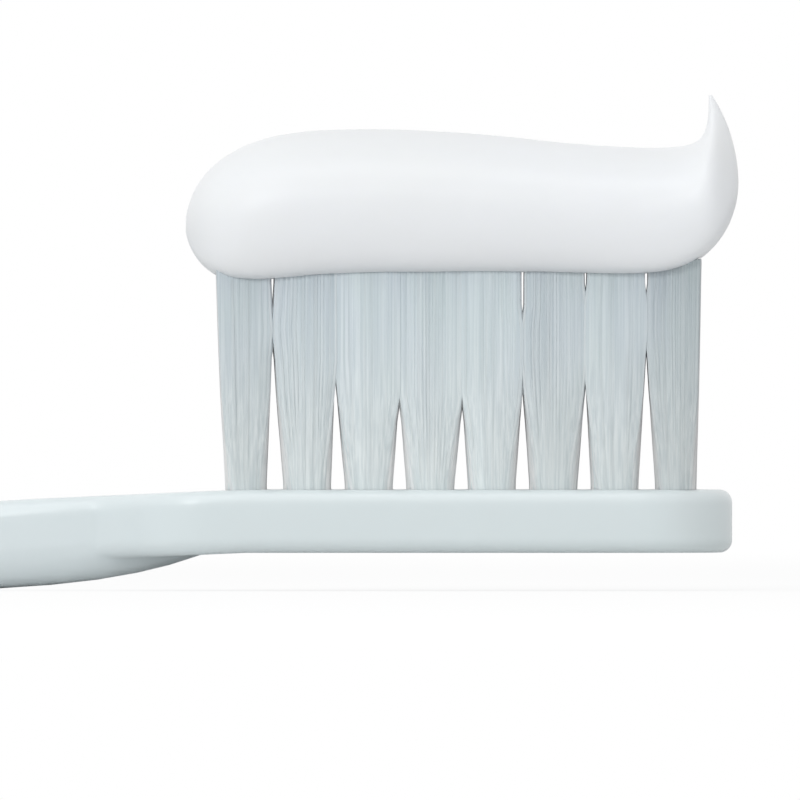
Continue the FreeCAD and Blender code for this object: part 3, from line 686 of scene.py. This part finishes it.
def pasteCrown(shape, x):
    run = x - shape["root"]
    noseZ = shape["base"] + shape["noseHeight"]
    if run < shape["noseCrown"]:
        share = quarterRise(run / shape["noseCrown"], shape["noseCrownRound"])
        return noseZ + share * (shape["crown"] - noseZ)
    start = shape["root"] + shape["noseCrown"] + shape["crownFlat"]
    return shape["crown"] - shape["crownFall"] * eased((x - start) / (shape["curl"] - start))


def bodyRings(shape):
    nose = shape["noseCrown"]
    reach = shape["curl"] - shape["root"]
    runs = [nose * (1 - math.cos(math.radians(turn))) for turn in shape["noseTurns"]]
    runs += [nose + (reach - nose) * share for share in shape["bodyShares"]]
    rings = []
    for run in runs:
        x = shape["root"] + run
        drop = quarterRise(run / shape["noseBase"], shape["noseBaseRound"])
        low = shape["base"] + shape["noseHeight"] * (1 - drop) + shape["baseRise"] * run / reach
        low -= shape["sag"] * math.sin(math.pi * min(run / nose, 1)) ** 2
        halfWidth = shape["half"] * quarterRise(run / shape["nosePlan"], shape["nosePlanRound"])
        bluntness = eased(1 - run / nose) + eased(5 * run / reach - 4)  # nose and last fifth
        baseRound = shape["baseRound"] + (shape["endBaseRound"] - shape["baseRound"]) * bluntness
        crown = pasteCrown(shape, x)
        rings.append(pasteRing(shape, Vector((x, 0, low)), Vector((x, 0, crown)), halfWidth, baseRound))
    return rings


def curlRings(shape):
    length = shape["curlLength"]
    reach = length - shape["peakSetback"]
    peakTurn = math.acos(reach / length)
    curlCrown = shape["crown"] - shape["crownFall"]
    curlBase = shape["base"] + shape["baseRise"]
    belly = curlBase + shape["curlHeight"]
    peak = curlCrown + shape["peakHeight"]
    upper = (peak - belly) / math.sin(peakTurn)
    power = 2 / shape["curlRound"]
    rings = []
    for share in shape["curlShares"]:
        turn = -math.pi / 2 + share * (math.pi / 2 + peakTurn)
        height = upper if turn > 0 else shape["curlHeight"]
        outer = Vector((shape["curl"] + length * math.cos(turn), 0, belly + height * math.sin(turn)))
        hollowTurn = (1 - share) ** shape["hollowLead"] * math.pi / 2
        inner = Vector((shape["curl"] + reach * math.cos(hollowTurn) ** power, 0,
                        peak - shape["peakHeight"] * math.sin(hollowTurn) ** power))
        slimness = min(1, shape["fullness"] * (outer - inner).length / (curlCrown - curlBase))
        baseRound = shape["endBaseRound"] + (shape["baseRound"] - shape["endBaseRound"]) * share
        halfWidth = shape["half"] * slimness ** shape["slimming"]
        rings.append(pasteRing(shape, outer, inner, halfWidth, baseRound))
    return rings


# Weights of four control rings or points at a place between them: round and round for the points
# of a ring, or clamped at both ends for the rings
def splineWeights(place, count, clamped):
    if not clamped:
        index = int(math.floor(place))
        way = place - index
        weights = ((1 - way) ** 3 / 6, (3 * way ** 3 - 6 * way ** 2 + 4) / 6,
                   (-3 * way ** 3 + 3 * way ** 2 + 3 * way + 1) / 6, way ** 3 / 6)
        return [((index + step - 1) % count, weight) for step, weight in enumerate(weights)]
    knots = [0.0] * 3 + list(range(count - 2)) + [float(count - 3)] * 3
    place = min(max(place, 0.0), count - 3 - 1e-9)
    span = int(place) + 3
    weights = [1.0]
    for degree in range(1, 4):
        found = [0.0] * (degree + 1)
        for number, weight in enumerate(weights):
            low = knots[span - degree + 1 + number]
            high = knots[span + 1 + number]
            share = (place - low) / (high - low)
            found[number] += weight * (1 - share)
            found[number + 1] += weight * share
        weights = found
    return [(span - 3 + step, weight) for step, weight in enumerate(weights)]


def makePaste(shape, material):
    rings = bodyRings(shape) + curlRings(shape)
    count = shape["ringPoints"]
    around = shape["around"]
    across = [splineWeights(count * number / around, count, False) for number in range(around)]
    along = [splineWeights((len(rings) - 3) * number / shape["along"], len(rings), True)
             for number in range(shape["along"] + 1)]
    points = []
    for ringWeights in along:
        blended = [sum((rings[ring][number] * weight for ring, weight in ringWeights), Vector())
                   for number in range(count)]
        for weights in across:
            points.append(sum((blended[number] * weight for number, weight in weights), Vector()) * mm)
    faces = []
    for ring in range(shape["along"]):
        for number in range(around):
            following = (number + 1) % around
            low = ring * around
            faces.append((low + number, low + around + number, low + around + following, low + following))
    faces.append(tuple(range(around)))
    faces.append(tuple(shape["along"] * around + number for number in reversed(range(around))))
    mesh = bpy.data.meshes.new("toothpaste_strip")
    mesh.from_pydata(points, [], faces)
    mesh.update()
    normals = [vertex.normal.copy() for vertex in mesh.vertices]
    for index, vertex in enumerate(mesh.vertices):
        ring, number = divmod(index, around)
        place = vertex.co / mm
        fade = eased(min(ring, shape["along"] - ring) / shape["fadeRings"])
        lump = sum(noise.noise(place * scale) * share for scale, share in shape["lumpScales"])
        alongScale, roundScale = shape["streakScales"]
        streak = noise.noise(Vector((place.x * alongScale, number * roundScale, 3.0)))
        vertex.co += normals[index] * (lump * shape["lumps"] + streak * shape["streaks"]) * fade * mm
    strip = bpy.data.objects.new(mesh.name, mesh)
    collection.objects.link(strip)
    cutter = makeHollowCutter(shape)
    cut = strip.modifiers.new("hollow", "BOOLEAN")
    cut.object = cutter
    cut.operation = "DIFFERENCE"
    cut.solver = "EXACT"
    finished = bpy.data.meshes.new_from_object(strip.evaluated_get(bpy.context.evaluated_depsgraph_get()))
    strip.modifiers.clear()
    strip.data = finished
    finished.name = "toothpaste_strip"
    bpy.data.objects.remove(cutter)
    finished.materials.clear()
    finished.materials.append(material)
    finished.shade_smooth()
    finished.set_sharp_from_angle(angle=math.radians(shape["sharpAngle"]))
    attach(strip, "root")
    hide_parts("toothpaste")


# Block with rounded upright edges that cuts the hollow
def makeHollowCutter(shape):
    first, last = shape["hollowEnds"]
    corner, steps = shape["hollowCorner"], shape["cornerSteps"]
    side = shape["hollowHalf"] - corner
    outline = []
    for middleX, middleY, begin in ((last - corner, side, 0), (first + corner, side, 90),
                                    (first + corner, -side, 180), (last - corner, -side, 270)):
        for step in range(steps + 1):
            turn = math.radians(begin + step * 90 / steps)
            outline.append((middleX + corner * math.cos(turn), middleY + corner * math.sin(turn)))
    count = len(outline)
    levels = (shape["hollowFloor"], shape["hollowTop"])
    points = [Vector((x, y, z)) * mm for z in levels for x, y in outline]
    faces = [(number, (number + 1) % count, count + (number + 1) % count, count + number)
             for number in range(count)]
    faces.append(tuple(reversed(range(count))))
    faces.append(tuple(range(count, 2 * count)))
    mesh = bpy.data.meshes.new("hollow_cutter")
    mesh.from_pydata(points, [], faces)
    cutter = bpy.data.objects.new("hollow_cutter", mesh)
    collection.objects.link(cutter)
    return cutter


def makePasteMaterial(look):
    material, tree, shader = startMaterial("whitePaste")
    place = addNode(tree, "TexCoord", (-600, 0))
    clouds = placeGroup(tree, softClouds, (-200, 150), Main=look["white"], Cloud=look["cream"],
                        Scale=look["cloudScale"], Stretch=look["cloudStretch"], Share=0.6)
    skin = placeGroup(tree, fineSkin, (-200, -200), Scale=look["grainScale"],
                      Stretch=look["grainStretch"], Smooth=look["smooth"], Dull=look["dull"])
    tree.links.new(place.outputs["Object"], clouds.inputs["Vector"])
    tree.links.new(place.outputs["Object"], skin.inputs["Vector"])
    tree.links.new(clouds.outputs["Colour"], shader.inputs["Base Color"])
    tree.links.new(skin.outputs["Roughness"], shader.inputs["Roughness"])
    addBump(tree, shader, skin.outputs["Height"], look["grain"], look["grainDepth"])
    shader.inputs["IOR"].default_value = 1.42
    shader.inputs["Subsurface Weight"].default_value = look["inside"]
    shader.inputs["Subsurface Radius"].default_value = look["insideTint"]
    shader.inputs["Subsurface Scale"].default_value = look["insideReach"]
    return material


makePaste(pasteShape, makePasteMaterial(pasteLook))
print("toothpaste made")

# Stage: white floor and surround, soft light from above and the left
stageLook = {
    "floorReach": 40.0,        # m, to each side
    "floorDrop": 0.00002,      # m below the brush
    "floor": (0.80, 0.80, 0.80, 1),
    "keepShadow": 0.15,        # how much of the floor's own light the camera sees near the brush
    "fade": (0.1, 0.4),        # m from the brush, where the kept shadow fades to plain white
    "skyTint": (0.985, 0.995, 1.0, 1),
    "world": 0.80,             # strength of the soft light all round
    "worldLeft": 1.06,         # share of it from the handle's side
    "worldRight": 0.60,        # and from the head's side
    "lamps": [  # name, place and aim in mm, width, depth in m, power in watts
        ("top", (40, -240, 560), (104, 0, 10), 0.35, 0.3, 0.6),
        ("front", (-60, -520, 330), (104, 0, 10), 0.14, 0.14, 0.75),
    ],
}


def makeFloor(look):
    reach = look["floorReach"]
    mesh = bpy.data.meshes.new("floor")
    corners = [(-reach, -reach, 0), (reach, -reach, 0), (reach, reach, 0), (-reach, reach, 0)]
    mesh.from_pydata(corners, [], [(0, 1, 2, 3)])
    floor = bpy.data.objects.new("floor", mesh)
    floor.location = (0.1, 0, -look["floorDrop"])
    collection.objects.link(floor)
    material = bpy.data.materials.new("paleFloor")
    material.use_nodes = True
    tree = material.node_tree
    tree.nodes.clear()
    links = tree.links
    output = addNode(tree, "OutputMaterial", (900, 0))
    matt = addNode(tree, "BsdfDiffuse", (0, 100))
    glow = addNode(tree, "Emission", (0, -100))
    path = addNode(tree, "LightPath", (-600, 300))
    paint = addNode(tree, "Mix", (-250, 450), data_type="RGBA")
    paint.inputs["A"].default_value = look["floor"]
    paint.inputs["B"].default_value = (1, 1, 1, 1)
    links.new(path.outputs["Is Camera Ray"], paint.inputs["Factor"])
    links.new(paint.outputs["Result"], matt.inputs["Color"])
    shown = addNode(tree, "Math", (-400, 300), operation="MAXIMUM")
    links.new(path.outputs["Is Camera Ray"], shown.inputs[0])
    links.new(path.outputs["Is Transmission Ray"], shown.inputs[1])
    place = addNode(tree, "TexCoord", (-900, -200))
    far = addNode(tree, "VectorMath", (-700, -200), operation="LENGTH")
    links.new(place.outputs["Object"], far.inputs[0])
    fade = addNode(tree, "MapRange", (-500, -200), interpolation_type="SMOOTHSTEP")
    fade.inputs["From Min"].default_value = look["fade"][0]
    fade.inputs["From Max"].default_value = look["fade"][1]
    fade.inputs["To Min"].default_value = 1 - look["keepShadow"]
    fade.inputs["To Max"].default_value = 1.0
    links.new(far.outputs["Value"], fade.inputs["Value"])
    share = addNode(tree, "Math", (-250, 200), operation="MULTIPLY")
    links.new(shown.outputs[0], share.inputs[0])
    links.new(fade.outputs["Result"], share.inputs[1])
    mix = addNode(tree, "MixShader", (300, 0))
    links.new(share.outputs[0], mix.inputs["Fac"])
    links.new(matt.outputs["BSDF"], mix.inputs[1])
    links.new(glow.outputs["Emission"], mix.inputs[2])
    clear = addNode(tree, "BsdfTransparent", (300, -200))
    facing = addNode(tree, "NewGeometry", (300, 300))
    sided = addNode(tree, "MixShader", (600, 0))
    links.new(facing.outputs["Backfacing"], sided.inputs["Fac"])
    links.new(mix.outputs["Shader"], sided.inputs[1])
    links.new(clear.outputs["BSDF"], sided.inputs[2])
    links.new(sided.outputs["Shader"], output.inputs["Surface"])
    mesh.materials.append(material)


def makeWorld(look):
    world = bpy.data.worlds.new("studio")
    world.use_nodes = True
    tree = world.node_tree
    tree.nodes.clear()
    links = tree.links
    output = addNode(tree, "OutputWorld", (600, 0))
    light = addNode(tree, "Background", (0, 100))
    light.inputs["Color"].default_value = look["skyTint"]
    place = addNode(tree, "TexCoord", (-900, 0))
    across = addNode(tree, "SeparateXYZ", (-700, 0))
    links.new(place.outputs["Generated"], across.inputs[0])
    level = addNode(tree, "MapRange", (-450, 0))
    level.inputs["From Min"].default_value = -1.0
    level.inputs["To Min"].default_value = look["world"] * look["worldLeft"]
    level.inputs["To Max"].default_value = look["world"] * look["worldRight"]
    links.new(across.outputs["X"], level.inputs["Value"])
    links.new(level.outputs["Result"], light.inputs["Strength"])
    white = addNode(tree, "Background", (0, -100))
    white.inputs["Strength"].default_value = 1.0
    white.inputs["Color"].default_value = (1, 1, 1, 1)
    path = addNode(tree, "LightPath", (-500, 200))
    seen = addNode(tree, "Math", (-300, 200), operation="MAXIMUM")
    links.new(path.outputs["Is Camera Ray"], seen.inputs[0])
    links.new(path.outputs["Is Transmission Ray"], seen.inputs[1])
    gloss = addNode(tree, "Math", (-100, 250), operation="MAXIMUM")
    links.new(seen.outputs[0], gloss.inputs[0])
    links.new(path.outputs["Is Glossy Ray"], gloss.inputs[1])
    mix = addNode(tree, "MixShader", (300, 0))
    links.new(gloss.outputs[0], mix.inputs["Fac"])
    links.new(light.outputs["Background"], mix.inputs[1])
    links.new(white.outputs["Background"], mix.inputs[2])
    links.new(mix.outputs["Shader"], output.inputs["Surface"])
    scene.world = world


def makeLamps(look):
    for name, place, aim, width, depth, power in look["lamps"]:
        data = bpy.data.lights.new(name, "AREA")
        data.shape = "RECTANGLE"
        data.size = width
        data.size_y = depth
        data.energy = power
        lamp = bpy.data.objects.new(name, data)
        lamp.location = Vector(place) * mm
        lamp.rotation_euler = (Vector(aim) - Vector(place)).to_track_quat("-Z", "Y").to_euler()
        collection.objects.link(lamp)


makeFloor(stageLook)
makeWorld(stageLook)
makeLamps(stageLook)
scene.view_settings.view_transform = "Standard"
print("stage set")
